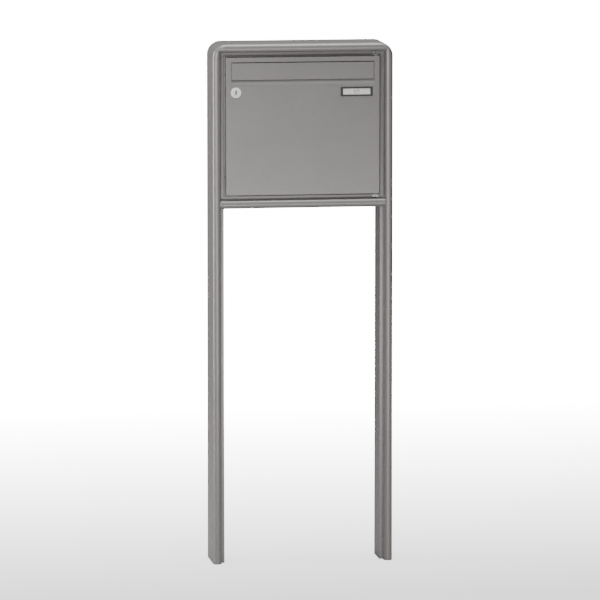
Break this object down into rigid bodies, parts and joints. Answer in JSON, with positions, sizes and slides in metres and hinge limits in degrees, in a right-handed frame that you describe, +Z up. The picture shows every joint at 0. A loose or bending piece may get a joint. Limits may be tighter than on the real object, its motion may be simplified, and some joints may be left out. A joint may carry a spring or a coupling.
{
  "type": "free-standing letterbox",
  "caption": "Letterbox with a locking front door, hinged slot flap and name plate, held in a round-cornered frame of tubes on two tall posts.",
  "frame": {"origin": "on the ground, midway between the two posts and midway through the frame's depth", "axes": "+X to the right as seen from the front, +Y to the back, +Z up; the door faces -Y"},
  "size_m": [0.428, 0.12, 1.232],
  "materials": {
    "frame_coating": "satin grey-aluminium powder coat on extrusions and castings",
    "sheet_coating": "satin grey-aluminium powder coat on folded sheet",
    "grey_plastic": "moulded, fine matt grain, coloured to match the door",
    "steel": "zinc plated",
    "bare_aluminium": "sawn and milled, uncoated",
    "lock_chrome": "bright nickel-chrome plate",
    "rubber": "matt",
    "black_plastic": "satin",
    "card": "blank white card",
    "clear_plastic": "clear acrylic window"
  },
  "bodies": {
    "frame": {"post_left": "frame_coating", "post_right": "frame_coating", "corner_left": "frame_coating", "corner_right": "frame_coating", "top_rail": "frame_coating", "bottom_rail": "frame_coating", "hinge_bracket_top": "frame_coating", "hinge_bracket_bottom": "frame_coating", "box_shell": "sheet_coating", "back_panel": "sheet_coating", "back_panel_screws": "steel", "box_screws": "steel", "corner_set_screws": "steel", "joiner_screws": "steel", "rail_set_screws": "steel", "bracket_screws": "steel", "hinge_pins": "steel", "corner_keys": "bare_aluminium", "rail_joiners": "bare_aluminium", "door_buffers": "rubber"},
    "door": {"door_panel": "sheet_coating", "slot_surround": "grey_plastic", "surround_nuts": "steel", "flap_pin": "steel", "flap_pin_clips": "steel", "flap_buffers": "rubber", "slot_guard": "sheet_coating", "guard_rivets": "steel", "lock_body": "lock_chrome", "lock_nut": "steel", "nameplate_holder": "black_plastic", "nameplate_card": "card", "nameplate_cover": "clear_plastic", "hinge_bushes": "black_plastic"},
    "flap": {"flap": "sheet_coating"},
    "lock_cylinder": {"lock_plug": "lock_chrome", "lock_cam": "steel", "cam_washer": "steel", "cam_screw": "steel"}
  },
  "joints": [
    {"name": "door_hinge", "type": "hinge", "parent": "frame", "child": "door", "pos_m": [0.174, -0.048, 1.038], "axis": [0, 0, 1], "range_deg": [0, 75]},
    {"name": "flap_hinge", "type": "hinge", "parent": "door", "child": "flap", "pos_m": [0, -0.0495, 1.183], "axis": [-1, 0, 0], "range_deg": [0, 80]},
    {"name": "lock_turn", "type": "hinge", "parent": "door", "child": "lock_cylinder", "pos_m": [-0.1585, -0.045, 1.118], "axis": [0, 1, 0], "range_deg": [0, 90]}
  ]
}
